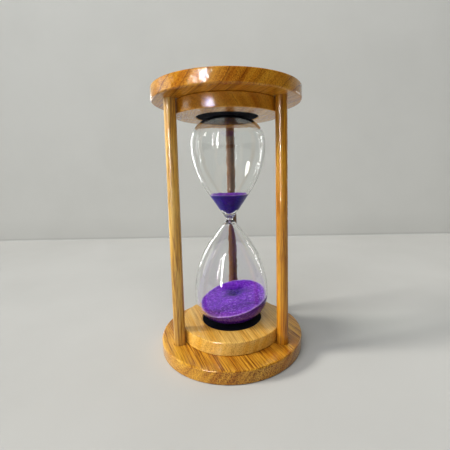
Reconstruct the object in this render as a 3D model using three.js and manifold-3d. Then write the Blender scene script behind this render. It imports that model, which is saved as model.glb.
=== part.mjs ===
// A wooden hourglass: two stepped round end plates, three dowel posts and a one-piece glass vessel of coloured sand.
// Millimetres, +Z up. The origin is the centre of the base plate's underside, and the glass stands on the Z axis.
// The two ends are alike, so the object also stands upside down. One post is at the back, at +Y, and two are in front.
import * as THREE from "three";
import { mergeVertices } from "three/addons/utils/BufferGeometryUtils.js";
import Module from "manifold-3d";

const wasm = await Module();
wasm.setup();

// ---- Driving dimensions ----

const HEIGHT = 200; // over both plates
const GAP = 0.3; // clearance between pieces that move or are cut to fit each other
const FACETS = { plate: 72, step: 60, post: 24, pad: 36, vessel: 36, screw: 16 };

const PLATE = { radius: 56.5, thickness: 10, round: 1.3 };
const STEP = { radius: 40.3, thickness: 10, round: 0.9, hole: 23.8 };
const POST = { radius: 4.3, circle: 44.9, socket: 5 };
const POST_PLACES = { back: 90, left: 210, right: 330 }; // degrees from +X round the Z axis
const SCREW = { head: 3.5, headHeight: 2.3, shank: 1.6, length: 22, sunk: 0.4, slot: 4.2, slotWidth: 0.9 };

const NECK_Z = 101; // the height of the throat
const WALL = 1.5; // the glass
const NECK = { radius: 2.7, fillet: 1.8 }; // the outside of the throat
const BOWL = 6; // the radius of the rounded bottom that each bulb has inside, where it meets the throat's bore
// Each bulb: how wide it is and how far from the throat, the cone's angle from the axis, and the shoulder's curve.
const UPPER = { radius: 29.1, reach: 59.3, cone: 34.2, shoulder: 19.7 };
const LOWER = { radius: 29.5, reach: 61, cone: 38.7, shoulder: 20 };
const SHOULDER_TURN = 75; // degrees that the shoulder turns before the shallow crown begins

const FILL_HOLE = 4; // radius of the hole in the lower crown that the sand is poured through
const STOPPER = { head: 5.6, headHeight: 1.6, grip: 1.4 };

const UPPER_SAND = { level: 121.3, pitRadius: 9, pitDepth: 1.2 };
const LOWER_SAND = { level: 36, slope: 12.4, downhill: 213 }; // its height on the axis, and degrees

const COLOURS = {
  plateWood: 0xb98543,
  stepWood: 0xc8964f,
  postWood: 0xbb873f,
  foam: 0x0b0b10,
  glass: 0xe8efee,
  sand: 0x6b35b4,
  rubber: 0x2b2b2e,
  steel: 0xb9bcc0,
};

const radians = (degrees) => (degrees * Math.PI) / 180;
const topOfStep = PLATE.thickness + STEP.thickness;

// ---- Shapes ----

// A solid of revolution about Z, from [radius, height] points that run up the outside.
function turned(points, facets) {
  const outline = points.map(([r, z]) => new THREE.Vector2(r, z));
  const geometry = new THREE.LatheGeometry(outline, facets);
  return geometry.rotateX(Math.PI / 2);
}

// Points along an arc in the [radius, height] plane, between two angles in degrees from the +radius direction.
function arc(centreR, centreZ, radius, from, to, steps) {
  return Array.from({ length: steps + 1 }, (_, i) => {
    const angle = radians(from + ((to - from) * i) / steps);
    return [centreR + radius * Math.cos(angle), centreZ + radius * Math.sin(angle)];
  });
}

// A round disc with its rim rounded at the bottom and at the top.
function roundedDisc(radius, thickness, below, above) {
  return [
    [0, 0],
    ...arc(radius - below, below, below, -90, 0, 2),
    ...arc(radius - above, thickness - above, above, 0, 90, 2),
    [0, thickness],
  ];
}

function cylinder(radius, bottom, top, facets) {
  return turned([[0, bottom], [radius, bottom], [radius, top], [0, top]], facets);
}

// ---- Cutting and joining ----

function toSolid(geometry) {
  const bare = geometry.clone();
  bare.deleteAttribute("normal");
  bare.deleteAttribute("uv");
  const merged = mergeVertices(bare, 1e-4);
  return new wasm.Manifold(
    new wasm.Mesh({
      numProp: 3,
      vertProperties: new Float32Array(merged.attributes.position.array),
      triVerts: new Uint32Array(merged.index.array),
    }),
  );
}

function toGeometry(solid) {
  const { vertProperties, triVerts } = solid.getMesh();
  const geometry = new THREE.BufferGeometry();
  geometry.setAttribute("position", new THREE.BufferAttribute(vertProperties, 3));
  geometry.setIndex(new THREE.BufferAttribute(triVerts, 1));
  return geometry;
}

// The geometry with each of the cutters taken out of it.
function cut(geometry, cutters) {
  return toGeometry(cutters.reduce((solid, cutter) => solid.subtract(toSolid(cutter)), toSolid(geometry)));
}

// ---- The wooden frame ----

const postAt = (degrees) => [POST.circle * Math.cos(radians(degrees)), POST.circle * Math.sin(radians(degrees))];

// The countersunk wood screw that holds a post, its head down, as it stands in the base plate.
function screwOutline(grow) {
  const head = SCREW.head + grow;
  const shank = SCREW.shank + grow;
  const coneTop = SCREW.sunk + SCREW.headHeight + grow;
  return [[head, SCREW.sunk], [shank, coneTop]];
}

function screw() {
  const [head, neck] = screwOutline(0);
  const tip = SCREW.sunk + SCREW.length;
  const body = turned([[0, head[1]], head, neck, [neck[0], tip - 4], [0, tip]], FACETS.screw);
  const slots = [0, 90].map((degrees) => {
    const slot = new THREE.BoxGeometry(SCREW.slot, SCREW.slotWidth, 2 * 1.4);
    return slot.rotateZ(radians(degrees)).translate(0, 0, SCREW.sunk);
  });
  return cut(body, slots);
}

// A plate as it lies in the base: a socket from above and a countersunk hole from below at each post.
function plate() {
  const disc = turned(roundedDisc(PLATE.radius, PLATE.thickness, PLATE.round, PLATE.round), FACETS.plate);
  const [head, neck] = screwOutline(GAP);
  const cutters = Object.values(POST_PLACES).flatMap((degrees) => {
    const [x, y] = postAt(degrees);
    const floor = PLATE.thickness - POST.socket - GAP;
    const socket = cylinder(POST.radius + GAP, floor, PLATE.thickness + 1, FACETS.post);
    const countersink = turned(
      [[0, -1], [head[0], -1], head, neck, [neck[0], PLATE.thickness], [0, PLATE.thickness]],
      FACETS.screw,
    );
    return [socket.translate(x, y, 0), countersink.translate(x, y, 0)];
  });
  return cut(disc, cutters);
}

// The ring on the plate's inner face, whose hole holds the foam pad. It stands on z = 0.
function step() {
  const { radius, thickness, round, hole } = STEP;
  const chamfer = 0.4;
  return turned(
    [
      [hole, 0],
      [radius, 0],
      ...arc(radius - round, thickness - round, round, 0, 90, 2),
      [hole + chamfer, thickness],
      [hole, thickness - chamfer],
      [hole, 0],
    ],
    FACETS.step,
  );
}

// A post, with a pilot hole for the screw in each end.
function post() {
  const bottom = PLATE.thickness - POST.socket;
  const top = HEIGHT - bottom;
  const pilotDepth = SCREW.sunk + SCREW.length + GAP;
  const dowel = cylinder(POST.radius, bottom, top, FACETS.post);
  const pilots = [
    cylinder(SCREW.shank + GAP, 0, pilotDepth, FACETS.screw),
    cylinder(SCREW.shank + GAP, HEIGHT - pilotDepth, HEIGHT, FACETS.screw),
  ];
  return cut(dowel, pilots);
}

// ---- The glass and the sand ----

// The measures of a bulb that follow from its driving ones. Its lengths run away from the throat.
function bulbCurves({ radius, reach, cone, shoulder }) {
  const a = radians(cone);
  const filletEnd = [NECK.radius + NECK.fillet * (1 - Math.cos(a)), NECK.fillet * Math.sin(a)];
  // The belly's radius makes the belly tangent to the cone at one end and upright where the bulb is widest.
  const overshoot = Math.tan(a) * (reach - filletEnd[1]) - (radius - filletEnd[0]);
  const belly = (overshoot * Math.cos(a)) / (1 - Math.cos(a));
  const turn = radians(SHOULDER_TURN);
  const toAxis = (radius - shoulder) / Math.cos(turn);
  return { belly, crownCentre: reach - toAxis * Math.sin(turn), crown: shoulder + toAxis };
}

// How far a bulb's crown is from the throat at a given radius, a distance inside its outer surface.
function crownReach(bulb, inset, r) {
  const { crownCentre, crown } = bulbCurves(bulb);
  return crownCentre + Math.sqrt((crown - inset) ** 2 - r * r);
}

// The inside of a bulb's end at the throat, as [radius, length] points: the bore, then a rounded bowl. The bowl's
// centre is on the axis, and it is tangent to the cone.
function bowlOutline(cone, inset) {
  const a = radians(cone);
  const side = [
    NECK.radius + NECK.fillet * (1 - Math.cos(a)) - WALL * Math.cos(a),
    NECK.fillet * Math.sin(a) + WALL * Math.sin(a),
  ];
  const apex = side[1] - side[0] / Math.tan(a);
  const bore = NECK.radius - inset;
  const bowl = BOWL - (inset - WALL);
  const start = (Math.asin(bore / bowl) * 180) / Math.PI - 90;
  return [[bore, 0], ...arc(0, apex + BOWL / Math.sin(a), bowl, start, -cone, 3)];
}

// A bulb's outline from the throat to the crown, a distance inside its outer surface, as [radius, length] points.
// The crown ends at the given radius.
function bulbOutline(bulb, inset, endRadius) {
  const { belly, crownCentre, crown } = bulbCurves(bulb);
  const { radius, reach, cone, shoulder } = bulb;
  const crownEnd = (Math.acos(endRadius / (crown - inset)) * 180) / Math.PI;
  const outside = arc(NECK.radius + NECK.fillet, 0, NECK.fillet, 180, 180 - cone, 3);
  return [
    ...(inset < WALL ? outside : bowlOutline(cone, inset)),
    ...arc(radius - belly, reach, belly - inset, -cone, 0, 5),
    ...arc(radius - shoulder, reach, shoulder - inset, 0, SHOULDER_TURN, 4).slice(1),
    ...arc(0, crownCentre, crown - inset, SHOULDER_TURN, crownEnd, 2).slice(1),
  ];
}

const upward = ([r, length]) => [r, NECK_Z + length];
const downward = ([r, length]) => [r, NECK_Z - length];

// Both bulbs in one piece of glass, closed at the upper crown and open at the fill hole in the lower one.
function vessel() {
  const upperOutside = bulbOutline(UPPER, 0, 0).map(upward);
  const lowerOutside = bulbOutline(LOWER, 0, FILL_HOLE).map(downward);
  const upperInside = bulbOutline(UPPER, WALL, 0).map(upward);
  const lowerInside = bulbOutline(LOWER, WALL, FILL_HOLE).map(downward);
  const points = [
    ...upperInside.reverse(),
    ...lowerInside.slice(1),
    ...lowerOutside.reverse(),
    ...upperOutside.slice(1),
  ];
  return turned(points, FACETS.vessel);
}

const crownBottom = NECK_Z - crownReach(LOWER, 0, 0);

// The rubber stopper: a head outside the glass and a waist that fills the hole.
function stopperOutline(grow) {
  const waist = FILL_HOLE - GAP + grow;
  const under = crownBottom - GAP;
  const over = crownBottom + WALL + STOPPER.grip + grow;
  return [
    [0, under - STOPPER.headHeight],
    [STOPPER.head, under - STOPPER.headHeight],
    [STOPPER.head, under],
    [waist, under],
    [waist, over],
    [0, over],
  ];
}

// A foam pad that fills a step's hole, dished to take a bulb's crown. It lies as in the base.
function pad(bulb, throat, relief) {
  const outer = STEP.hole - GAP;
  const face = topOfStep - GAP;
  const { crownCentre, crown } = bulbCurves(bulb);
  const centre = throat - crownCentre;
  const dish = crown + GAP;
  const rim = (Math.asin((face - centre) / dish) * 180) / Math.PI;
  const floor = relief ? (-Math.acos(relief / dish) * 180) / Math.PI : -90;
  const inner = relief ? [relief, PLATE.thickness] : [0, PLATE.thickness];
  const outline = [inner, [outer, PLATE.thickness], [outer, face], ...arc(0, centre, dish, rim, floor, 5)];
  return turned(relief ? [...outline, inner] : outline, FACETS.pad);
}

// The sand still above the throat, with the pit that it drains through.
function upperSand() {
  const wall = bulbOutline(UPPER, WALL + GAP, 0).map(upward).slice(1);
  const below = wall.filter(([, z]) => z < UPPER_SAND.level);
  const last = below[below.length - 1];
  const next = wall[below.length];
  const share = (UPPER_SAND.level - last[1]) / (next[1] - last[1]);
  const edge = [last[0] + (next[0] - last[0]) * share, UPPER_SAND.level];
  const { pitRadius, pitDepth, level } = UPPER_SAND;
  return turned([[0, below[0][1]], ...below, edge, [pitRadius, level], [0, level - pitDepth]], FACETS.vessel);
}

// The sand that has run down, lying at a slope as it was last tilted.
function lowerSand() {
  const cavity = bulbOutline(LOWER, WALL + GAP, 0).map(downward).reverse();
  const bulbFull = turned([...cavity, [0, NECK_Z]], FACETS.vessel);
  const size = 4 * LOWER.radius;
  const air = new THREE.BoxGeometry(size, size, size).translate(0, 0, size / 2);
  air.rotateY(radians(-LOWER_SAND.slope)).rotateZ(radians(LOWER_SAND.downhill - 180));
  air.translate(0, 0, LOWER_SAND.level);
  return cut(bulbFull, [air, turned(stopperOutline(GAP), FACETS.screw)]);
}

// ---- The assembly ----

const WOOD_FINISH = { roughness: 0.32, metalness: 0 };
const finishes = {
  plateWood: new THREE.MeshStandardMaterial({ color: COLOURS.plateWood, ...WOOD_FINISH }),
  stepWood: new THREE.MeshStandardMaterial({ color: COLOURS.stepWood, ...WOOD_FINISH }),
  postWood: new THREE.MeshStandardMaterial({ color: COLOURS.postWood, ...WOOD_FINISH }),
  foam: new THREE.MeshStandardMaterial({ color: COLOURS.foam, roughness: 0.95, metalness: 0 }),
  glass: new THREE.MeshStandardMaterial({
    color: COLOURS.glass, roughness: 0.02, metalness: 0, transparent: true, opacity: 0.3,
  }),
  sand: new THREE.MeshStandardMaterial({ color: COLOURS.sand, roughness: 0.9, metalness: 0 }),
  rubber: new THREE.MeshStandardMaterial({ color: COLOURS.rubber, roughness: 0.7, metalness: 0 }),
  steel: new THREE.MeshStandardMaterial({ color: COLOURS.steel, roughness: 0.35, metalness: 1 }),
};

const hourglass = new THREE.Group();

function place(name, geometry, finish, parent = hourglass) {
  const mesh = new THREE.Mesh(geometry, finish);
  mesh.name = name;
  parent.add(mesh);
  return mesh;
}

place("base_plate", plate(), finishes.plateWood);
place("base_step", step(), finishes.stepWood).position.z = PLATE.thickness;
place("base_pad", pad(LOWER, NECK_Z, STOPPER.head + GAP), finishes.foam);

// The top end is the base end turned over, about Y so that the posts' places fall on themselves.
const topEnd = new THREE.Group();
topEnd.position.z = HEIGHT;
topEnd.rotation.y = Math.PI;
hourglass.add(topEnd);
place("top_plate", plate(), finishes.plateWood, topEnd);
place("top_step", step(), finishes.stepWood, topEnd).position.z = PLATE.thickness;
place("top_pad", pad(UPPER, HEIGHT - NECK_Z, 0), finishes.foam, topEnd);

for (const [side, degrees] of Object.entries(POST_PLACES)) {
  const [x, y] = postAt(degrees);
  place("post_" + side, post(), finishes.postWood).position.set(x, y, 0);
  place("base_screw_" + side, screw(), finishes.steel).position.set(x, y, 0);
  const topScrew = place("top_screw_" + side, screw(), finishes.steel);
  topScrew.position.set(x, y, HEIGHT);
  topScrew.rotation.x = Math.PI;
}

place("glass_vessel", vessel(), finishes.glass);
place("fill_stopper", turned(stopperOutline(0), FACETS.screw), finishes.rubber);
place("upper_sand", upperSand(), finishes.sand);
place("lower_sand", lowerSand(), finishes.sand);

export default hourglass;
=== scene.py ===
import math

import bmesh
import bpy
import numpy as np
from mathutils import Matrix, Vector, noise


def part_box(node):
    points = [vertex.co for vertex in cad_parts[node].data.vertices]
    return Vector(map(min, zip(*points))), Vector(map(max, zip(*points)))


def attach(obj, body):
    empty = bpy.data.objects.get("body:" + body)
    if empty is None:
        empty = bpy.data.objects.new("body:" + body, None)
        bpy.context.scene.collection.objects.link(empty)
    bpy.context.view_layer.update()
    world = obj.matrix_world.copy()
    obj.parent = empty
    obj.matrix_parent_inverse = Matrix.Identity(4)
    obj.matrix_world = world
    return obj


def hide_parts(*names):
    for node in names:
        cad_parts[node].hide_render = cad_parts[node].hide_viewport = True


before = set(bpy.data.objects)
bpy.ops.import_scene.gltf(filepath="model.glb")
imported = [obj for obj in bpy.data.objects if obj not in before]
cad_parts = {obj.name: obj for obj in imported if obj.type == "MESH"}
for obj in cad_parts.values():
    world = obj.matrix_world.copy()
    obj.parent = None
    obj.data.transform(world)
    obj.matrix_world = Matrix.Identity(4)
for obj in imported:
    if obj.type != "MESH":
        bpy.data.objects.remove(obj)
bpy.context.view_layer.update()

MM = 0.001
POST_NAMES = ("left", "right", "back")
POST_DEGREES = {"back": 90, "left": 210, "right": 330}

# The blown vessel's drawing: the throat's height, the wall, and each bulb measured away from the throat.
THROAT_Z = 101 * MM
WALL = 1.5 * MM
THROAT = {"radius": 2.7 * MM, "fillet": 1.8 * MM}
BOWL = 6 * MM  # radius of the rounded end of each bulb's inside, at the throat
UPPER_BULB = {"radius": 29.1 * MM, "reach": 59.3 * MM, "cone": 34.2, "shoulder": 19.7 * MM, "side": 1}
LOWER_BULB = {"radius": 29.5 * MM, "reach": 61 * MM, "cone": 38.7, "shoulder": 20 * MM, "side": -1}
SHOULDER_TURN = 75
FILL_HOLE = 4 * MM

UPPER_LEVEL = 121.3 * MM
LOWER_LEVEL = 36 * MM
LOWER_SLOPE = math.radians(12.4)
DOWNHILL = Vector((math.cos(math.radians(213)), math.sin(math.radians(213)), 0))


# ---------------------------------------------------------------- shaping

def arc(centre_r, centre_z, radius, start, stop, steps):
    """Points [r, z] along an arc, from one angle in degrees to another."""
    angles = np.radians(np.linspace(start, stop, steps + 1))
    return [(centre_r + radius * math.cos(a), centre_z + radius * math.sin(a)) for a in angles]


def add_object(name, mesh):
    obj = bpy.data.objects.new(name, mesh)
    bpy.context.scene.collection.objects.link(obj)
    return obj


def smoothed(mesh, crease=34):
    """Shades a mesh smooth, apart from edges sharper than the crease in degrees."""
    mesh.polygons.foreach_set("use_smooth", [True] * len(mesh.polygons))
    mesh.set_sharp_from_angle(angle=math.radians(crease))
    mesh.update()


def turned(name, profile, segments=160, centre=(0, 0), wobble=None):
    """A solid of revolution from [r, z] points that run up the outside. A point on the axis becomes a pole.

    The profile starts and ends on the axis, or closes on itself when its ends meet."""
    bm = bmesh.new()
    closed = math.dist(profile[0], profile[-1]) < 1e-9
    if closed:
        profile = profile[:-1]
    rings = []
    for row, (r, z) in enumerate(profile):
        if r < 1e-7:
            rings.append([bm.verts.new((centre[0], centre[1], z))])
            continue
        ring = []
        for k in range(segments):
            a = 2 * math.pi * k / segments
            reach = r + (wobble(a, r, z) if wobble else 0)
            ring.append(bm.verts.new((centre[0] + reach * math.cos(a), centre[1] + reach * math.sin(a), z)))
        rings.append(ring)
    pairs = list(zip(rings, rings[1:] + rings[:1] if closed else rings[1:]))
    for low, high in pairs:
        for k in range(segments):
            n = (k + 1) % segments
            corners = [low[k % len(low)], low[n % len(low)], high[n % len(high)], high[k % len(high)]]
            corners = list(dict.fromkeys(corners))
            if len(corners) > 2:
                bm.faces.new(corners)
    mesh = bpy.data.meshes.new(name)
    bm.to_mesh(mesh)
    bm.free()
    smoothed(mesh)
    return add_object(name, mesh)


def joined(name, objects):
    """One object from several, which are used up."""
    bm = bmesh.new()
    for obj in objects:
        bm.from_mesh(obj.data)
        bpy.data.objects.remove(obj)
    mesh = bpy.data.meshes.new(name)
    bm.to_mesh(mesh)
    bm.free()
    return add_object(name, mesh)


def baked(obj):
    """The object with its modifiers worked into a new mesh."""
    bpy.context.view_layer.update()
    evaluated = obj.evaluated_get(bpy.context.evaluated_depsgraph_get())
    mesh = bpy.data.meshes.new_from_object(evaluated)
    old = obj.data
    obj.modifiers.clear()
    obj.data = mesh
    mesh.name = obj.name
    bpy.data.meshes.remove(old)
    return obj


def carved(obj, cutters, crease=34):
    """The object with the cutters taken out of it."""
    tool = joined("cutters", cutters)
    cut = obj.modifiers.new("carve", "BOOLEAN")
    cut.operation, cut.solver, cut.object = "DIFFERENCE", "EXACT", tool
    cut.use_hole_tolerant = True
    baked(obj)
    bpy.data.objects.remove(tool)
    smoothed(obj.data, crease)
    return obj


# ---------------------------------------------------------------- nodes

def tree_node(tree, kind, inputs=None, **settings):
    """Adds a node, and sets or links its inputs."""
    made = tree.nodes.new(kind)
    for key, value in settings.items():
        setattr(made, key, value)
    for key, value in (inputs or {}).items():
        if isinstance(value, bpy.types.NodeSocket):
            tree.links.new(value, made.inputs[key])
        else:
            made.inputs[key].default_value = value
    return made


# ---------------------------------------------------------------- finishes

class Finish:
    """A material, and short words for adding nodes to it."""

    def __init__(self, name):
        self.material = bpy.data.materials.new(name)
        self.material.use_nodes = True
        self.tree = self.material.node_tree
        self.tree.nodes.clear()
        self.output = self.node("ShaderNodeOutputMaterial")

    def node(self, kind, inputs=None, **settings):
        return tree_node(self.tree, kind, inputs, **settings)

    def place(self, rotation=(0, 0, 0)):
        """The point's place in the object, turned about the origin."""
        where = self.node("ShaderNodeTexCoord").outputs["Object"]
        return self.node("ShaderNodeMapping", {"Vector": where, "Rotation": rotation}).outputs["Vector"]

    def vector(self, operation, a, b):
        return self.node("ShaderNodeVectorMath", {0: a, 1: b}, operation=operation).outputs[0]

    def stretched(self, vector, scale):
        return self.vector("MULTIPLY", vector, scale)

    def noise(self, vector, scale, detail=3, roughness=0.5):
        inputs = {"Vector": vector, "Scale": scale, "Detail": detail, "Roughness": roughness}
        return self.node("ShaderNodeTexNoise", inputs)

    def cells(self, vector, scale):
        return self.node("ShaderNodeTexVoronoi", {"Vector": vector, "Scale": scale})

    def math(self, operation, a, b=0.0):
        return self.node("ShaderNodeMath", {0: a, 1: b}, operation=operation).outputs[0]

    def spread(self, value, low, high, to_low=0.0, to_high=1.0):
        inputs = {"Value": value, "From Min": low, "From Max": high, "To Min": to_low, "To Max": to_high}
        return self.node("ShaderNodeMapRange", inputs).outputs["Result"]

    def ramp(self, value, stops):
        made = self.node("ShaderNodeValToRGB", {"Fac": value})
        elements = made.color_ramp.elements
        while len(elements) < len(stops):
            elements.new(0.5)
        for element, (position, colour) in zip(elements, stops):
            element.position, element.color = position, (*colour, 1)
        return made.outputs["Color"]

    def mix(self, factor, a, b, blend="MIX"):
        made = self.node("ShaderNodeMix", data_type="RGBA", blend_type=blend)
        for index, value in ((0, factor), (6, a), (7, b)):
            if isinstance(value, bpy.types.NodeSocket):
                self.tree.links.new(value, made.inputs[index])
            else:
                made.inputs[index].default_value = value if index == 0 else (*value, 1)
        return made.outputs[2]

    def bump(self, height, distance, strength):
        inputs = {"Height": height, "Distance": distance, "Strength": strength}
        return self.node("ShaderNodeBump", inputs).outputs["Normal"]

    def surface(self, **inputs):
        shader = self.node("ShaderNodeBsdfPrincipled", {k.replace("_", " "): v for k, v in inputs.items()})
        self.tree.links.new(shader.outputs["BSDF"], self.output.inputs["Surface"])
        return shader


GRAIN_SWAY = 5 * MM
PORE_DEPTH = 0.08 * MM
VARNISH_RIPPLE = 0.36 * MM


def wood(name, grain_degrees, pith, ring, tones, line_strength, streak_strength, ring_strength=0.7,
         upright=False):
    """Varnished wood, whose grain runs along X turned by grain_degrees, or up a post.

    The rings are a ring's width apart round the pith, and tones are the light, middle and dark colours.
    The strengths say how dark the long lines, the short streaks and the late wood of each ring are."""
    light, middle, dark = tones
    f = Finish(name)
    turn = (0, math.radians(90), 0) if upright else (0, 0, math.radians(-grain_degrees))
    along = f.place(rotation=turn)
    moved = f.vector("ADD", along, (0, -pith[0], -pith[1]))
    sway = f.noise(f.stretched(moved, (0.4, 1, 1)), 24, detail=1).outputs["Color"]
    sway = f.vector("SUBTRACT", sway, (0.5, 0.5, 0.5))
    warped = f.vector("ADD", moved, f.stretched(sway, (0, GRAIN_SWAY, GRAIN_SWAY)))
    across = f.stretched(warped, (0, 1, 1))
    distance = f.node("ShaderNodeVectorMath", {0: across}, operation="LENGTH").outputs["Value"]
    ring_noise = f.noise(f.stretched(warped, (0.02, 1, 1)), 90, detail=2).outputs["Fac"]
    count = f.math("ADD", f.math("DIVIDE", distance, ring), f.math("MULTIPLY", ring_noise, 0.5))
    year = f.math("FRACT", count)
    which = f.node("ShaderNodeCombineXYZ", {"X": f.math("FLOOR", count)}).outputs[0]
    which = f.noise(which, 7.3, detail=0).outputs["Fac"]
    late_wood = f.ramp(year, ((0, (0, 0, 0)), (0.6, (0.08, 0.08, 0.08)), (0.87, (0.25, 0.25, 0.25)),
                              (0.94, (1, 1, 1)), (0.985, (0.1, 0.1, 0.1))))
    late_wood = f.math("MULTIPLY", late_wood, f.spread(which, 0.3, 0.65, 0.2 * ring_strength, ring_strength))

    length = f.node("ShaderNodeSeparateXYZ", {"Vector": along}).outputs["X"]
    layers = f.node("ShaderNodeCombineXYZ", {"X": f.math("MULTIPLY", length, 0.02), "Y": distance}).outputs[0]
    lines = f.noise(layers, 600, detail=3, roughness=0.6).outputs["Fac"]
    bands = f.noise(layers, 200, detail=2).outputs["Fac"]
    streaks = f.noise(f.stretched(warped, (0.018, 1, 1)), 1400, detail=3, roughness=0.6).outputs["Fac"]
    fibres = f.noise(f.stretched(warped, (0.016, 1, 1)), 950, detail=4, roughness=0.65).outputs["Fac"]
    where_lined = f.noise(f.stretched(warped, (0.25, 1, 1)), 40, detail=2).outputs["Fac"]
    patches = f.noise(moved, 26, detail=2).outputs["Fac"]
    pores = f.noise(f.stretched(warped, (0.03, 1, 1)), 2100, detail=2, roughness=0.5).outputs["Fac"]

    colour = f.mix(f.spread(f.math("ADD", patches, bands), 0.75, 1.25), middle, light)
    colour = f.mix(late_wood, colour, dark)
    lined = f.spread(lines, 0.46, 0.62, 0, line_strength)
    lined = f.math("MULTIPLY", lined, f.spread(where_lined, 0.34, 0.6, 0.25, 1))
    colour = f.mix(lined, colour, dark)
    streaked = f.spread(where_lined, 0.36, 0.6, 0.25, streak_strength)
    colour = f.mix(f.math("MULTIPLY", f.spread(streaks, 0.49, 0.57), streaked), colour, dark)
    colour = f.mix(f.spread(lines, 0.5, 0.36, 0, 0.3), colour, light)
    colour = f.mix(f.spread(fibres, 0.48, 0.7, 0, 0.35), colour, light)
    colour = f.mix(f.spread(fibres, 0.5, 0.32, 0, 0.25), colour, dark)
    colour = f.mix(f.spread(pores, 0.58, 0.72, 0, 0.7), colour, dark)

    sunken = f.math("MULTIPLY", f.spread(pores, 0.6, 0.75), -0.6)
    relief = f.math("ADD", f.math("MULTIPLY", fibres, 0.7), sunken)
    normal = f.bump(relief, PORE_DEPTH, 0.5)
    ripple = f.noise(along, 430, detail=1, roughness=0.5).outputs["Fac"]
    coat_normal = f.bump(ripple, VARNISH_RIPPLE, 0.75)
    f.surface(Base_Color=colour, Roughness=f.spread(fibres, 0.3, 0.7, 0.46, 0.3), Normal=normal,
              Specular_IOR_Level=0.12, Coat_Weight=1.0, Coat_Roughness=0.03, Coat_Normal=coat_normal)
    return f.material


def foam_rubber():
    f = Finish("black foam rubber")
    where = f.place()
    pores = f.cells(where, 1500).outputs["Distance"]
    lumps = f.noise(where, 260, detail=3).outputs["Fac"]
    colour = f.mix(f.spread(pores, 0.15, 0.6), (0.0008, 0.0009, 0.002), (0.0055, 0.0062, 0.014))
    height = f.math("ADD", pores, f.math("MULTIPLY", lumps, 0.8))
    f.surface(Base_Color=colour, Roughness=f.spread(lumps, 0.3, 0.7, 0.62, 0.85),
              Normal=f.bump(height, 0.3 * MM, 0.6), Specular_IOR_Level=0.12)
    return f.material


def stopper_rubber():
    f = Finish("dark stopper rubber")
    where = f.place()
    bloom = f.noise(where, 420, detail=4).outputs["Fac"]
    colour = f.mix(bloom, (0.018, 0.018, 0.02), (0.055, 0.055, 0.058))
    f.surface(Base_Color=colour, Roughness=f.spread(bloom, 0.3, 0.7, 0.5, 0.72),
              Normal=f.bump(bloom, 0.1 * MM, 0.4))
    return f.material


def zinc_steel():
    f = Finish("zinc-plated steel")
    where = f.place()
    scratches = f.noise(f.stretched(where, (1, 0.12, 1)), 1800, detail=4).outputs["Fac"]
    spangle = f.cells(where, 700).outputs["Color"]
    tone = f.mix(0.16, (0.56, 0.57, 0.6), spangle, "MULTIPLY")
    f.surface(Base_Color=tone, Metallic=1.0, Roughness=f.spread(scratches, 0.3, 0.7, 0.22, 0.42),
              Normal=f.bump(scratches, 0.04 * MM, 0.4))
    return f.material


def dyed_sand():
    """Grains of several violets, some of them bright, in darker clumps.

    It is painted with shade, deeper violet against the glass and in the funnel, and with a painted highlight,
    paler, along the rim."""
    f = Finish("dyed violet sand")
    where = f.place()
    grains = f.cells(where, 1900)
    clumps = f.noise(where, 420, detail=4, roughness=0.7).outputs["Fac"]
    drifts = f.noise(where, 85, detail=2).outputs["Fac"]
    shade = f.node("ShaderNodeSeparateColor", {"Color": grains.outputs["Color"]}).outputs["Red"]
    colour = f.ramp(shade, ((0, (0.07, 0.003, 0.27)), (0.4, (0.17, 0.012, 0.5)), (0.75, (0.28, 0.045, 0.72)),
                            (0.92, (0.43, 0.13, 0.9)), (1, (0.68, 0.46, 0.98))))
    colour = f.mix(f.spread(clumps, 0.45, 0.66, 0, 0.7), colour, (0.06, 0.001, 0.26))
    colour = f.mix(f.spread(clumps, 0.47, 0.34, 0, 0.4), colour, (0.31, 0.06, 0.76))
    colour = f.mix(f.spread(drifts, 0.4, 0.65, 0, 0.3), colour, (0.09, 0.012, 0.36))
    # Painted shade: the sand along the glass is darkened, fully in the upper bulb and by half in the lower.
    painted_wall_shade = f.node("ShaderNodeAttribute", attribute_name="painted_shade_against_glass").outputs["Fac"]
    colour = f.mix(painted_wall_shade, colour, f.mix(1.0, colour, (0.11, 0.0, 0.56), "MULTIPLY"))
    # Painted shade in the funnel that the stream left.
    funnel = f.node("ShaderNodeAttribute", attribute_name="painted_funnel_shade").outputs["Fac"]
    colour = f.mix(funnel, colour, f.mix(1.0, colour, (0.17, 0.0, 0.36), "MULTIPLY"))
    # Painted highlight: a pale lilac line along the rim where the sand meets the glass, broken up by the
    # clumps.
    rim_sheen = f.node("ShaderNodeAttribute", attribute_name="rim_highlight").outputs["Fac"]
    rim_sheen_amount = f.math("MULTIPLY", rim_sheen, f.spread(clumps, 0.3, 0.6, 0.95, 0.45))
    colour = f.mix(rim_sheen_amount, colour, (0.62, 0.46, 0.9))
    height = f.math("SUBTRACT", f.math("MULTIPLY", clumps, 0.9), grains.outputs["Distance"])
    f.surface(Base_Color=colour, Roughness=0.6, Specular_IOR_Level=0.12,
              Normal=f.bump(height, 0.35 * MM, 0.8))
    return f.material


def clear_glass():
    """Clear glass with faint blowing waves. Lamps shine through it on to what it holds."""
    f = Finish("clear blown glass")
    where = f.place()
    waves = f.noise(f.stretched(where, (1, 1, 0.6)), 130, detail=3, roughness=0.6).outputs["Fac"]
    shader = f.surface(Base_Color=(0.985, 0.995, 0.99, 1), Roughness=0.0, IOR=1.5, Transmission_Weight=1.0,
                       Normal=f.bump(waves, 0.25 * MM, 0.35))
    ray = f.node("ShaderNodeLightPath")
    lamp_ray = f.math("MAXIMUM", ray.outputs["Is Shadow Ray"], ray.outputs["Is Diffuse Ray"])
    passing = f.node("ShaderNodeBsdfTransparent", {"Color": (0.9, 0.91, 0.905, 1)})
    blend = f.node("ShaderNodeMixShader",
                   {0: lamp_ray, 1: shader.outputs["BSDF"], 2: passing.outputs["BSDF"]})
    f.tree.links.new(blend.outputs["Shader"], f.output.inputs["Surface"])
    return f.material


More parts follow.
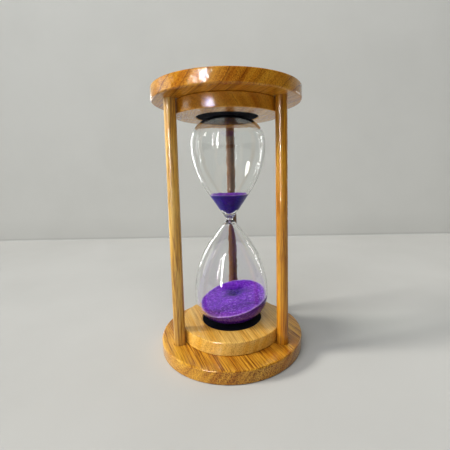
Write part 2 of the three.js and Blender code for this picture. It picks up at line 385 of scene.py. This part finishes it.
PALE = (0.78, 0.51, 0.15)
GOLD = (0.73, 0.38, 0.04)
HONEY = (0.47, 0.163, 0.005)
RED_BROWN = (0.13, 0.026, 0.001)
BASE_PLATE_TONES = ((0.7, 0.39, 0.05), (0.46, 0.17, 0.008), RED_BROWN)
# The back post's tones are darkened: painted shade, for the shadow it stands in.
BACK_POST_SHADED_TONES = ((0.27, 0.135, 0.05), (0.2, 0.085, 0.028), (0.09, 0.03, 0.009))
base_plate_wood = wood("base plate wood", 116, (-75 * MM, -62 * MM), 11 * MM, BASE_PLATE_TONES,
                       line_strength=0.25, streak_strength=0.85, ring_strength=0.45)
top_plate_wood = wood("top plate wood", 116, (-62 * MM, 145 * MM), 8.5 * MM, (GOLD, HONEY, RED_BROWN),
                      line_strength=0.2, streak_strength=0.4, ring_strength=1.1)
base_step_wood = wood("base step wood", 112, (-90 * MM, -12 * MM), 16 * MM, (PALE, GOLD, (0.28, 0.12, 0.015)),
                      line_strength=0.12, streak_strength=0.5, ring_strength=0.4)
top_step_wood = wood("top step wood", 105, (70 * MM, 130 * MM), 13 * MM, (GOLD, HONEY, (0.22, 0.08, 0.008)),
                     line_strength=0.2, streak_strength=0.4, ring_strength=0.6)
post_woods = {
    name: wood(f"{name} post wood", 0, pith, 6 * MM, tones,
               line_strength=0.3, streak_strength=0.5, upright=True)
    for name, pith, tones in (
        ("left", (30 * MM, 9 * MM), (PALE, GOLD, RED_BROWN)),
        ("right", (-14 * MM, 31 * MM), (GOLD, HONEY, RED_BROWN)),
        ("back", (-52 * MM, 12 * MM), BACK_POST_SHADED_TONES),
    )
}
FOAM, STOPPER_RUBBER, STEEL, SAND, GLASS = (
    foam_rubber(), stopper_rubber(), zinc_steel(), dyed_sand(), clear_glass()
)


def settle(piece, body, material, slot, *nodes):
    """Gives a piece its material, and says what it stands for and rides on."""
    piece.data.materials.clear()
    piece.data.materials.append(material)
    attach(piece, body)
    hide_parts(*nodes)
    return piece


# ---------------------------------------------------------------- the wooden frame

def size_of(node):
    low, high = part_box(node)
    return (high.x - low.x) / 2, low.z, high.z


plate_radius, _, plate_top = size_of("base_plate")
step_radius, step_floor, step_top = size_of("base_step")
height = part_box("top_plate")[1].z
post_radius, post_bottom, post_top = size_of("post_back")
back_low, back_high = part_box("post_back")
post_circle = (back_low.y + back_high.y) / 2
pad_radius = size_of("base_pad")[0] + 0.2 * MM
PLATE_ROUND = 1.2 * MM
SEAT_GAP = 0.12 * MM  # round a post in its socket
SOCKET_LIP = 0.4 * MM
SINK_MOUTH, SINK_NECK = 4 * MM, 1.9 * MM


def post_place(name):
    a = math.radians(POST_DEGREES[name])
    return post_circle * math.cos(a), post_circle * math.sin(a)


def rounded_disc(radius, low, high, edge, flat=0.35 * MM):
    """A disc's profile with rounded rims, and a narrow flat beside each so that the faces shade flat."""
    return [
        (0, low), (radius - edge - flat, low),
        *arc(radius - edge, low + edge, edge, -90, 0, 7),
        *arc(radius - edge, high - edge, edge, 0, 90, 7),
        (radius - edge - flat, high), (0, high),
    ]


def flipped(profile, about):
    """A profile of the base end as it lies in the top end."""
    return [(r, about - z) for r, z in reversed(profile)]


def end_profile(profile, top):
    return flipped(profile, height) if top else profile


def plate(end, material):
    """A round board with a socket for each post and a countersunk hole behind it for the screw."""
    top = end == "top"
    profile = rounded_disc(plate_radius, 0, plate_top, PLATE_ROUND)
    disc = turned(f"{end}_plate", end_profile(profile, top), 256)
    seat = post_radius + SEAT_GAP
    mouth, above = seat + SOCKET_LIP, plate_top + 1 * MM
    socket = [
        (0, post_bottom - SEAT_GAP), (seat, post_bottom - SEAT_GAP), (seat, plate_top - 0.35 * MM),
        (mouth, plate_top + 0.05 * MM), (mouth, above), (0, above),
    ]
    below, past_floor = -1 * MM, post_bottom + 0.5 * MM
    sink = [
        (0, below), (SINK_MOUTH, below), (SINK_MOUTH, 0.1 * MM), (3.72 * MM, 0.42 * MM),
        (SINK_NECK, 2.85 * MM), (SINK_NECK, past_floor), (0, past_floor),
    ]
    cutters = []
    for name in POST_NAMES:
        cutters += [turned("socket", end_profile(socket, top), 48, post_place(name)),
                    turned("sink", end_profile(sink, top), 40, post_place(name))]
    return settle(carved(disc, cutters), "frame", material, "plate_wood", f"{end}_plate")


def step(end, material):
    """The round ring on a plate, whose hole holds the foam pad."""
    top = end == "top"
    low, high = step_floor + 0.02 * MM, step_top
    hole, edge, flat = pad_radius + 0.15 * MM, 0.7 * MM, 0.3 * MM
    profile = [
        (hole, low), (step_radius - 0.55 * MM, low), (step_radius, low + 0.5 * MM),
        *arc(step_radius - edge, high - edge, edge, 0, 90, 6),
        (step_radius - edge - flat, high), (hole + edge + flat, high),
        *arc(hole + edge, high - edge, edge, 90, 180, 5),
        (hole, low),
    ]
    ring = turned(f"{end}_step", end_profile(profile, top), 224)
    return settle(ring, "frame", material, "step_wood", f"{end}_step")


def post(name):
    """A dowel with softly broken ends, very slightly out of round as a sanded one is."""
    low, high, edge = post_bottom, post_top, 0.4 * MM
    rows = [(post_radius, z) for z in np.linspace(low + 3 * MM, high - 3 * MM, 40)]
    profile = [(0, low), *arc(post_radius - edge, low + edge, edge, -90, 0, 3), *rows,
               *arc(post_radius - edge, high - edge, edge, 0, 90, 3), (0, high)]

    def sanding(a, r, z):
        return 0.035 * MM * noise.noise(Vector((math.cos(a), math.sin(a), z * 28 + POST_DEGREES[name])))

    dowel = turned(f"post_{name}", profile, 56, post_place(name), sanding)
    return settle(dowel, "frame", post_woods[name], "post_wood", f"post_{name}")


plate("base", base_plate_wood)
plate("top", top_plate_wood)
step("base", base_step_wood)
step("top", top_step_wood)
for name in POST_NAMES:
    post(name)


# ---------------------------------------------------------------- the screws

def wood_screw():
    """One countersunk wood screw, head down at z = 0: a cross recess, a smooth neck and a tapered thread."""
    head, sunk, cone_top, core, length = 3.45 * MM, 0.4 * MM, 2.7 * MM, 1.15 * MM, 22 * MM
    pitch, thread_start, depth = 1.3 * MM, 6 * MM, 0.42 * MM
    tip = sunk + length
    heights = np.linspace(thread_start, tip - 0.2 * MM, 96)
    taper = 5 * MM

    def core_at(z):
        return core * min(1, (tip - z) / taper) + 0.03 * MM

    neck = 1.55 * MM
    profile = [(0, sunk), (head - 0.25 * MM, sunk), (head, sunk + 0.12 * MM), (head, sunk + 0.3 * MM),
               (neck, cone_top), (neck, thread_start - 0.4 * MM),
               *[(core_at(z), z) for z in heights], (0, tip)]

    def thread(a, r, z):
        if z < thread_start:
            return 0
        turn = (z / pitch - a / (2 * math.pi)) % 1
        ease = min(1, (z - thread_start) / pitch) * min(1, (tip - z) / taper)
        return depth * ease * max(0, 1 - abs(turn - 0.5) / 0.22)

    screw = turned("screw", profile, 24, wobble=thread)
    slots = []
    for quarter in range(2):
        bm = bmesh.new()
        bmesh.ops.create_cube(bm, size=1)
        for v in bm.verts:
            narrow = 1 if v.co.z < 0 else 0.45
            across = v.co.y * 0.95 * MM * (0.6 + 0.4 * narrow)
            v.co = Vector((v.co.x * 4.1 * MM * narrow, across, v.co.z * 3 * MM))
        bmesh.ops.rotate(bm, verts=bm.verts, matrix=Matrix.Rotation(quarter * math.pi / 2, 3, "Z"))
        bmesh.ops.translate(bm, verts=bm.verts, vec=(0, 0, sunk))
        mesh = bpy.data.meshes.new("slot")
        bm.to_mesh(mesh)
        bm.free()
        slots.append(add_object("slot", mesh))
    for slot in slots:
        carved(screw, [slot], 40)
    return screw


def tree_with(name, inputs):
    """An empty Geometry Nodes tree with a geometry in and out, and these named inputs."""
    tree = bpy.data.node_groups.new(name, "GeometryNodeTree")
    tree.interface.new_socket("Geometry", in_out="INPUT", socket_type="NodeSocketGeometry")
    tree.interface.new_socket("Geometry", in_out="OUTPUT", socket_type="NodeSocketGeometry")
    for label, kind in inputs:
        tree.interface.new_socket(label, in_out="INPUT", socket_type=kind)
    return tree, tree.nodes.new("NodeGroupInput"), tree.nodes.new("NodeGroupOutput")


def run_tree(obj, tree, values):
    """Works a tree into the object's mesh, with these values for its named inputs."""
    modifier = obj.modifiers.new(tree.name, "NODES")
    modifier.node_group = tree
    identifiers = {s.name: s.identifier for s in tree.interface.items_tree if s.in_out == "INPUT"}
    for label, value in values.items():
        modifier[identifiers[label]] = value
    return baked(obj)


def screw_setting():
    """Repeats the screw at every post, head down in the base and head up in the top."""
    tree, start, end = tree_with("screws at the posts", (
        ("Posts", "NodeSocketInt"), ("Circle", "NodeSocketFloat"), ("First Angle", "NodeSocketFloat"),
        ("Top", "NodeSocketFloat"), ("Finish", "NodeSocketMaterial")))
    ring = tree_node(tree, "GeometryNodeMeshCircle",
                     {"Vertices": start.outputs["Posts"], "Radius": start.outputs["Circle"]})
    first = tree_node(tree, "ShaderNodeCombineXYZ", {"Z": start.outputs["First Angle"]})
    places = tree_node(tree, "GeometryNodeTransform",
                       {"Geometry": ring.outputs["Mesh"], "Rotation": first.outputs["Vector"]})
    raise_by = tree_node(tree, "ShaderNodeCombineXYZ", {"Z": start.outputs["Top"]})
    raised = tree_node(tree, "GeometryNodeTransform",
                       {"Geometry": places.outputs["Geometry"], "Translation": raise_by.outputs["Vector"]})
    index = tree_node(tree, "GeometryNodeInputIndex")
    twist = tree_node(tree, "ShaderNodeMath", {0: index.outputs[0], 1: 0.7}, operation="MULTIPLY")
    sets = tree_node(tree, "GeometryNodeJoinGeometry")
    for points, over in ((places, 0.0), (raised, math.pi)):
        turn = tree_node(tree, "ShaderNodeCombineXYZ", {"X": over, "Z": twist.outputs[0]})
        copies = tree_node(tree, "GeometryNodeInstanceOnPoints", {
            "Points": points.outputs["Geometry"], "Instance": start.outputs["Geometry"],
            "Rotation": turn.outputs["Vector"]})
        tree.links.new(copies.outputs["Instances"], sets.inputs[0])
    real = tree_node(tree, "GeometryNodeRealizeInstances", {"Geometry": sets.outputs[0]})
    painted = tree_node(tree, "GeometryNodeSetMaterial",
                        {"Geometry": real.outputs["Geometry"], "Material": start.outputs["Finish"]})
    tree.links.new(painted.outputs["Geometry"], end.inputs[0])
    return tree


screws = run_tree(wood_screw(), screw_setting(), {
    "Posts": 3, "Circle": post_circle, "First Angle": math.radians(90), "Top": height, "Finish": STEEL})
screws.name = "wood_screws"
settle(screws, "frame", STEEL, "screw_steel",
       *[f"{end}_screw_{name}" for end in ("base", "top") for name in POST_NAMES])


# ---------------------------------------------------------------- the glass

def bowl_outline(bulb, inset, steps):
    """A bulb's inside at the throat: the bore, and a bowl centred on the axis and tangent to the cone."""
    a = math.radians(bulb["cone"])
    side_r = THROAT["radius"] + THROAT["fillet"] * (1 - math.cos(a)) - WALL * math.cos(a)
    side_l = (THROAT["fillet"] + WALL) * math.sin(a)
    centre = side_l - side_r / math.tan(a) + BOWL / math.sin(a)
    bore, bowl = THROAT["radius"] - inset, BOWL - (inset - WALL)
    start = math.degrees(math.asin(bore / bowl)) - 90
    return [(bore, 0), *arc(0, centre, bowl, start, -bulb["cone"], steps)]


def bulb_outline(bulb, inset, end_radius, fine=1):
    """A bulb's outline from the throat to its crown, as [r, z] points, an inset inside the outer surface."""
    a = math.radians(bulb["cone"])
    radius, reach, shoulder = bulb["radius"], bulb["reach"], bulb["shoulder"]
    neck, fillet = THROAT["radius"], THROAT["fillet"]
    fillet_r, fillet_l = neck + fillet * (1 - math.cos(a)), fillet * math.sin(a)
    overshoot = math.tan(a) * (reach - fillet_l) - (radius - fillet_r)
    belly = overshoot * math.cos(a) / (1 - math.cos(a))
    turn = math.radians(SHOULDER_TURN)
    to_axis = (radius - shoulder) / math.cos(turn)
    crown_centre, crown = reach - to_axis * math.sin(turn), shoulder + to_axis
    crown_end = math.degrees(math.acos(end_radius / (crown - inset)))
    cone = bulb["cone"]
    if inset < WALL:
        throat_end = arc(neck + fillet, 0, fillet + inset, 180, 180 - cone, 8 * fine)
    else:
        throat_end = bowl_outline(bulb, inset, 10 * fine)
    belly_arc = arc(radius - belly, reach, belly - inset, -cone, 0, 18 * fine)
    (r0, l0), (r1, l1) = throat_end[-1], belly_arc[0]
    straight = [(r0 + (r1 - r0) * t, l0 + (l1 - l0) * t) for t in np.linspace(0, 1, 9 * fine + 1)[1:-1]]
    points = [
        *throat_end, *straight, *belly_arc,
        *arc(radius - shoulder, reach, shoulder - inset, 0, SHOULDER_TURN, 14 * fine)[1:],
        *arc(0, crown_centre, crown - inset, SHOULDER_TURN, crown_end, 8 * fine)[1:],
    ]
    if end_radius == 0:
        points[-1] = (0, points[-1][1])
    return [(r, THROAT_Z + bulb["side"] * length) for r, length in points]


def blowing(a, r, z):
    """The slight unevenness of lamp-blown glass."""
    calm = min(1, r / (8 * MM))
    swirl = Vector((math.cos(a) * 0.9, math.sin(a) * 0.9, z * 34))
    return 0.09 * MM * calm * noise.noise(swirl)


def vessel():
    upper_out, lower_out = bulb_outline(UPPER_BULB, 0, 0), bulb_outline(LOWER_BULB, 0, FILL_HOLE)
    upper_in, lower_in = bulb_outline(UPPER_BULB, WALL, 0), bulb_outline(LOWER_BULB, WALL, FILL_HOLE)
    profile = [*upper_in[::-1], *lower_in[1:], *lower_out[::-1], *upper_out[1:]]
    glass = turned("glass_vessel", profile, 192, wobble=blowing)
    smoothed(glass.data, 50)
    return settle(glass, "vessel", GLASS, "vessel_glass", "glass_vessel")


vessel()


def stopper():
    """A ribbed plug with a rounded head, in the fill hole."""
    low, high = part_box("fill_stopper")
    radius = (high.x - low.x) / 2
    head_top = low.z + 1.6 * MM
    waist = FILL_HOLE - 0.2 * MM
    groove = waist - 0.15 * MM
    edge = 0.4 * MM
    ribs = []
    for k in range(3):
        z = head_top + 0.5 * MM + k * 0.75 * MM
        ribs += [(groove, z), (waist, z + 0.2 * MM), (waist, z + 0.35 * MM), (groove, z + 0.55 * MM)]
    profile = [
        (0, low.z), *arc(radius - edge, low.z + edge, edge, -90, 0, 4),
        *arc(radius - edge, head_top - edge, edge, 0, 90, 4), (groove, head_top), *ribs,
        (waist - 0.8 * MM, high.z), (0, high.z),
    ]
    plug = turned("fill_stopper", profile, 48)
    return settle(plug, "vessel", STOPPER_RUBBER, "stopper_rubber", "fill_stopper")


stopper()


# ---------------------------------------------------------------- the foam pads

PAD_HOLE = 6 * MM
PAD_FLUFF = 0.1 * MM


def pad(end, bulb):
    """A foam disc, dished where the glass presses on it. The base's has a hole for the stopper."""
    top = end == "top"
    low, high = step_floor + 0.02 * MM, step_top - 0.2 * MM
    outer, edge = pad_radius, 0.8 * MM
    crown = bulb_outline(bulb, -0.12 * MM, 0)
    glass = [(r, z if not top else height - z) for r, z in crown]
    dish = sorted((r, z) for r, z in glass if r < 20 * MM and z < high - 0.05 * MM)
    hollow = PAD_HOLE if not top else 0
    floor = [p for p in dish if p[0] > hollow + 0.3 * MM][::-1]
    dish_rim = floor[0][0]
    lip = [
        (outer - edge, high - 0.02 * MM), (outer - 3 * MM, high),
        (dish_rim + 2.4 * MM, high + 0.02 * MM), (dish_rim + 0.9 * MM, high + 0.08 * MM),
    ]
    face = [(outer, low), *arc(outer - edge, high - edge, edge, 0, 80, 5), *lip, *floor]
    if hollow:
        profile = [(hollow, low), *face, (hollow, floor[-1][1] - 0.4 * MM), (hollow, low)]
    else:
        profile = [(0, low), *face, (0, dish[0][1])]
    disc = turned(f"{end}_pad", end_profile(profile, top), 128)
    for v in disc.data.vertices:
        r = math.hypot(v.co.x, v.co.y)
        if r > hollow + 1 * MM and abs((height - v.co.z if top else v.co.z) - high) < 0.3 * MM:
            v.co.z += (-1 if top else 1) * PAD_FLUFF * (noise.noise(v.co * 260) - 0.6)
    settle(disc, "frame", FOAM, "black_foam", f"{end}_pad")
    return disc


pad("base", LOWER_BULB)
pad("top", UPPER_BULB)


# ---------------------------------------------------------------- the sand

SIDE_GAP = -0.12 * MM  # the sand reaches this far into the wall, so no film of air shows between them
# The width of the painted highlight along the rim of the free surface.
RIM_HIGHLIGHT = 1.5 * MM
ROUND_END = 5 * MM
UPPER_END = THROAT_Z + 4 * MM


def heap(name, bulb, surface, shade, painted_wall_shade_depth, rings=44, segments=176, wall_rows=40, lowest=None):
    """A closed body of sand: a free surface of height surface(x, y), and below it the inside of the glass.

    shade(x, y) says how deep the painted shade on the free surface is, and the next argument says how deep
    the painted shade is on the sand along the glass. With lowest given, the sand ends there in a rounded tip."""
    wall = bulb_outline(bulb, WALL + SIDE_GAP, 0, fine=3)
    if bulb["side"] < 0:
        wall = wall[::-1]  # from the crown up
    if lowest is not None:
        wall = rounded_below([(r, z) for r, z in wall if z > lowest], lowest)
    lengths = np.concatenate(([0], np.cumsum([math.dist(p, q) for p, q in zip(wall, wall[1:])])))
    radii, heights = np.array([p[0] for p in wall]), np.array([p[1] for p in wall])
    bm = bmesh.new()
    free = bm.verts.layers.float.new("free_surface")
    painted_wall_shade = bm.verts.layers.float.new("painted_shade_against_glass")
    rim_sheen = bm.verts.layers.float.new("rim_highlight")
    funnel = bm.verts.layers.float.new("painted_funnel_shade")
    # Every point along the glass carries the depth of the painted shade given for it.
    bottom = bm.verts.new((0, 0, heights[0]))
    bottom[painted_wall_shade] = painted_wall_shade_depth
    peak = bm.verts.new((0, 0, surface(0, 0)))
    peak[free] = 1
    columns = []
    for k in range(segments):
        a = 2 * math.pi * k / segments
        c, s = math.cos(a), math.sin(a)
        over = [z - surface(r * c, r * s) for r, z in wall]
        meet = next(i for i in range(1, len(wall)) if over[i] > 0)
        share = over[meet - 1] / (over[meet - 1] - over[meet])
        edge_length = lengths[meet - 1] + share * (lengths[meet] - lengths[meet - 1])
        column = []
        for t in np.linspace(0, 1, wall_rows + 1)[1:]:
            r, z = np.interp(t * edge_length, lengths, radii), np.interp(t * edge_length, lengths, heights)
            column.append(bm.verts.new((r * c, r * s, z)))
            column[-1][painted_wall_shade] = painted_wall_shade_depth
            column[-1][rim_sheen] = max(0, 1 - (1 - t) * edge_length / (0.5 * RIM_HIGHLIGHT))
        edge_r = np.interp(edge_length, lengths, radii)
        for t in np.linspace(1, 0, rings + 1)[1:-1]:
            r = edge_r * t
            v = bm.verts.new((r * c, r * s, surface(r * c, r * s)))
            # Loose grains are kept off the painted funnel shade, so it stays dark.
            v[free] = 1 if t < 0.97 and shade(r * c, r * s) < 0.3 else 0
            v[rim_sheen] = max(0, 1 - (edge_r - r) / RIM_HIGHLIGHT)
            v[funnel] = shade(r * c, r * s)
            column.append(v)
        columns.append(column)
    for k in range(segments):
        one, two = columns[k], columns[(k + 1) % segments]
        bm.faces.new((bottom, two[0], one[0]))
        bm.faces.new((one[-1], two[-1], peak))
        for i in range(len(one) - 1):
            bm.faces.new((one[i], two[i], two[i + 1], one[i + 1]))
    mesh = bpy.data.meshes.new(name)
    bm.to_mesh(mesh)
    bm.free()
    smoothed(mesh, 60)
    return add_object(name, mesh)


def rounded_below(wall, lowest):
    """The outline with its lower end drawn in, as sand that bridges the throat is."""
    def share(z):
        return math.sqrt(max(0, 1 - max(0, 1 - (z - lowest) / ROUND_END) ** 2))

    return [(0.02 * MM, lowest), *[(r * share(z), z) for r, z in wall]]


def hollowed(x, y, centre, radius, depth):
    """A funnel-shaped hollow with a soft rim, as sand is left by a stream."""
    d = math.hypot(x - centre[0], y - centre[1]) / radius
    return -depth * math.exp(-1.7 * d ** 1.5)


def rippled(x, y, size):
    broad = noise.noise(Vector((x * 190, y * 190, 3)))
    fine = noise.noise(Vector((x * 520, y * 520, 7)))
    return size * (broad + 0.5 * fine)


FUNNEL = Vector((3 * MM, 7 * MM))  # the middle of the hollow that the stream left


def lower_surface(x, y):
    """A slope with the funnel that the stream left, a low collar round it, and faint rings."""
    rise = -math.tan(LOWER_SLOPE) * (DOWNHILL.x * x + DOWNHILL.y * y)
    far = math.hypot(x - FUNNEL.x, y - FUNNEL.y)
    angle = math.atan2(y - FUNNEL.y, x - FUNNEL.x)
    ragged = far * (1 + 0.1 * math.cos(5 * angle + 0.6))
    hollow = hollowed(ragged, 0, (0, 0), 6 * MM, 3 * MM)
    collar = 0.5 * MM * math.exp(-((far - 8 * MM) / (3 * MM)) ** 2)
    rings = 0.1 * MM * math.cos(far / (0.55 * MM)) * math.exp(-far / (16 * MM))
    return LOWER_LEVEL + rise + hollow + collar + rings + rippled(x, y, 0.25 * MM)


def funnel_shade(x, y):
    """Painted shade, deepest in the funnel and along a few short rays from it."""
    angle = math.atan2(y - FUNNEL.y, x - FUNNEL.x)
    ray = 1 + 0.12 * math.cos(5 * angle + 0.5)
    reach = math.hypot((x - FUNNEL.x) * 0.75, y - FUNNEL.y) / (6.2 * MM * ray)
    return min(1, 1.5 * math.exp(-reach ** 2))


def no_shade(x, y):
    return 0


def upper_surface(x, y):
    return UPPER_LEVEL + hollowed(x, y, (0, 0), 6 * MM, 1.1 * MM) + rippled(x, y, 0.12 * MM)


def grain_scattering():
    """Scatters loose grains over the free surface of a heap."""
    tree, start, end = tree_with("loose grains", (
        ("Grain Size", "NodeSocketFloat"), ("Grains Per Area", "NodeSocketFloat"), ("Seed", "NodeSocketInt"),
        ("Finish", "NodeSocketMaterial")))
    free = tree_node(tree, "GeometryNodeInputNamedAttribute", {"Name": "free_surface"}, data_type="FLOAT")
    inside = tree_node(tree, "ShaderNodeMath",
                       {0: free.outputs["Attribute"], 1: 0.9}, operation="GREATER_THAN")
    points = tree_node(tree, "GeometryNodeDistributePointsOnFaces", {
        "Mesh": start.outputs["Geometry"], "Selection": inside.outputs[0],
        "Density": start.outputs["Grains Per Area"], "Seed": start.outputs["Seed"]})
    grain = tree_node(tree, "GeometryNodeMeshIcoSphere", {"Radius": 1.0, "Subdivisions": 1})
    size = tree_node(tree, "FunctionNodeRandomValue",
                     {"Seed": start.outputs["Seed"]}, data_type="FLOAT")
    size.inputs[2].default_value, size.inputs[3].default_value = 0.6, 1.25
    scaled = tree_node(tree, "ShaderNodeMath",
                       {0: size.outputs[1], 1: start.outputs["Grain Size"]}, operation="MULTIPLY")
    turn = tree_node(tree, "FunctionNodeRandomValue",
                     {"Seed": start.outputs["Seed"]}, data_type="FLOAT_VECTOR")
    turn.inputs[1].default_value = (6.3, 6.3, 6.3)
    copies = tree_node(tree, "GeometryNodeInstanceOnPoints", {
        "Points": points.outputs["Points"], "Instance": grain.outputs["Mesh"],
        "Rotation": turn.outputs[0], "Scale": scaled.outputs[0]})
    both = tree_node(tree, "GeometryNodeJoinGeometry")
    tree.links.new(copies.outputs["Instances"], both.inputs[0])
    tree.links.new(start.outputs["Geometry"], both.inputs[0])
    real = tree_node(tree, "GeometryNodeRealizeInstances", {"Geometry": both.outputs[0]})
    painted = tree_node(tree, "GeometryNodeSetMaterial",
                        {"Geometry": real.outputs["Geometry"], "Material": start.outputs["Finish"]})
    tree.links.new(painted.outputs["Geometry"], end.inputs[0])
    return tree


GRAIN_SIZE = 0.15 * MM
GRAINS_PER_AREA = 3e6

grains = grain_scattering()
# Painted shade along the glass: full in the upper sand, half in the lower, which the front lights; the lower
# also gets painted shade in its funnel.
for name, bulb, surface, shade, painted_wall_shade_depth, lowest, seed in (
    ("lower_sand", LOWER_BULB, lower_surface, funnel_shade, 0.5, None, 4),
    ("upper_sand", UPPER_BULB, upper_surface, no_shade, 1, UPPER_END, 9),
):
    sand = heap(name, bulb, surface, shade, painted_wall_shade_depth, lowest=lowest)
    run_tree(sand, grains, {
        "Grain Size": GRAIN_SIZE, "Grains Per Area": GRAINS_PER_AREA, "Seed": seed, "Finish": SAND})
    settle(sand, "vessel", SAND, "violet_sand", name)


# ---------------------------------------------------------------- the studio

def studio():
    """A pale table with a wall some way behind it."""
    table_end, corner, extent = 0.385, 0.004, 1.6
    section = [(-extent, 0.0), (table_end - corner, 0.0)]
    section += [(table_end - corner + corner * math.sin(a), corner - corner * math.cos(a))
                for a in np.radians(np.linspace(15, 90, 6))]
    section += [(table_end, extent)]
    bm = bmesh.new()
    rows = [[bm.verts.new((x, y, z - 0.02 * MM)) for x in (-extent, extent)] for y, z in section]
    for low, high in zip(rows, rows[1:]):
        bm.faces.new((low[0], low[1], high[1], high[0]))
    mesh = bpy.data.meshes.new("studio")
    bm.to_mesh(mesh)
    bm.free()
    f = Finish("pale table and wall")
    where = f.place()
    mottle = f.noise(where, 9, detail=3).outputs["Fac"]
    height_up = f.node("ShaderNodeSeparateXYZ", {"Vector": where}).outputs["Z"]
    table_colour = f.mix(f.spread(mottle, 0.35, 0.65), (0.485, 0.485, 0.47), (0.505, 0.505, 0.49))
    wall_colour = f.mix(f.spread(mottle, 0.35, 0.65), (0.64, 0.64, 0.615), (0.66, 0.66, 0.635))
    # Painted shade: the wall darkens towards its foot, and more in the corner with the table.
    wall_colour = f.mix(f.spread(height_up, 0.05, 0.0, 0, 0.12), wall_colour, (0.3, 0.3, 0.29))
    wall_colour = f.mix(f.spread(height_up, 0.006, 0.003, 0, 0.4), wall_colour, (0.3, 0.3, 0.29))
    colour = f.mix(f.spread(height_up, 0.001, 0.003), table_colour, wall_colour)
    f.surface(Base_Color=colour, Roughness=0.85, Specular_IOR_Level=0.03)
    mesh.materials.append(f.material)
    floor = add_object("studio", mesh)


def lamp(name, place, aim, size, power, colour=(1, 1, 1), gloss=True, diffuse=True, through_glass=True):
    """A rectangular lamp that the camera can't see.

    Without gloss it isn't reflected, without diffuse it lights nothing itself, and without through_glass it
    isn't seen through the glass."""
    data = bpy.data.lights.new(name, "AREA")
    data.shape, data.size, data.size_y = "RECTANGLE", *size
    data.energy, data.color = power, colour
    obj = bpy.data.objects.new(name, data)
    obj.location = place
    obj.rotation_euler = (Vector(aim) - Vector(place)).to_track_quat("-Z", "Y").to_euler()
    obj.visible_camera, obj.visible_glossy, obj.visible_diffuse = False, gloss, diffuse
    obj.visible_transmission = gloss and through_glass
    bpy.context.scene.collection.objects.link(obj)


def sun(azimuth, elevation, strength, softness):
    """Low daylight. The azimuth is the way that shadows fall, from +X towards +Y."""
    data = bpy.data.lights.new("low daylight", "SUN")
    data.energy, data.angle, data.color = strength, math.radians(softness), (1, 0.965, 0.9)
    obj = bpy.data.objects.new("low daylight", data)
    a, e = math.radians(azimuth), math.radians(elevation)
    shine = Vector((math.cos(a) * math.cos(e), math.sin(a) * math.cos(e), -math.sin(e)))
    obj.rotation_euler = shine.to_track_quat("-Z", "Y").to_euler()
    obj.visible_glossy = False
    bpy.context.scene.collection.objects.link(obj)


def lights():
    """Low daylight from the left, a high softbox, and panes, strips and a card for the object to reflect."""
    sun(9, 27, 2.8, 15)
    lamp("high softbox", (-0.3, -0.8, 1.4), (0, 0.1, 0), (1.6, 1.4), 18, (0.96, 0.98, 1), gloss=False)
    lamp("table bounce", (-0.12, -0.36, 0.01), (0, 0, 0.16), (0.5, 0.2), 0.2, (1, 0.98, 0.94), gloss=False)
    lamp("near pane", (-0.4225, -0.795, 0.42), (0, 0, 0.2), (0.014, 0.75), 9, diffuse=False)
    lamp("far pane", (-0.602, -0.669, 0.42), (0, 0, 0.2), (0.008, 0.75), 2, diffuse=False)
    lamp("left card", (-0.95, 0.05, 0.3), (0, 0, 0.1), (0.5, 0.5), 1.3, diffuse=False, through_glass=False)
    lamp("left strip", (-0.27, 0.34, 0.14), (0, 0, 0.1), (0.012, 0.3), 0.1, diffuse=False)
    lamp("right strip", (0.43, 0.3, 0.14), (0, 0, 0.1), (0.012, 0.3), 0.12, diffuse=False)
    world = bpy.data.worlds.new("dim room light")
    world.use_nodes = True
    background = world.node_tree.nodes["Background"]
    background.inputs["Color"].default_value = (0.86, 0.87, 0.88, 1)
    background.inputs["Strength"].default_value = 0.045
    bpy.context.scene.world = world


def camera():
    """The camera stands in front, near the object and level with its upper half, and leans slightly."""
    place = Vector((12.08, -239.77, 138.89)) * MM
    forward = Vector((-0.01712942, 0.99400133, -0.10801825))
    right = Vector((0.99968173, 0.01502508, -0.02026519))
    up = right.cross(forward)
    data = bpy.data.cameras.new("camera")
    data.sensor_width = 36
    data.lens = 24.28
    data.shift_x, data.shift_y = -0.0318, -0.0467
    data.clip_start = 0.01
    obj = bpy.data.objects.new("camera", data)
    obj.matrix_world = Matrix((
        (right.x, up.x, -forward.x, place.x), (right.y, up.y, -forward.y, place.y),
        (right.z, up.z, -forward.z, place.z), (0, 0, 0, 1)))
    bpy.context.scene.collection.objects.link(obj)
    bpy.context.scene.camera = obj


studio()
lights()
camera()
bpy.context.scene.view_settings.view_transform = "Standard"
bpy.context.scene.view_settings.look = "Medium High Contrast"
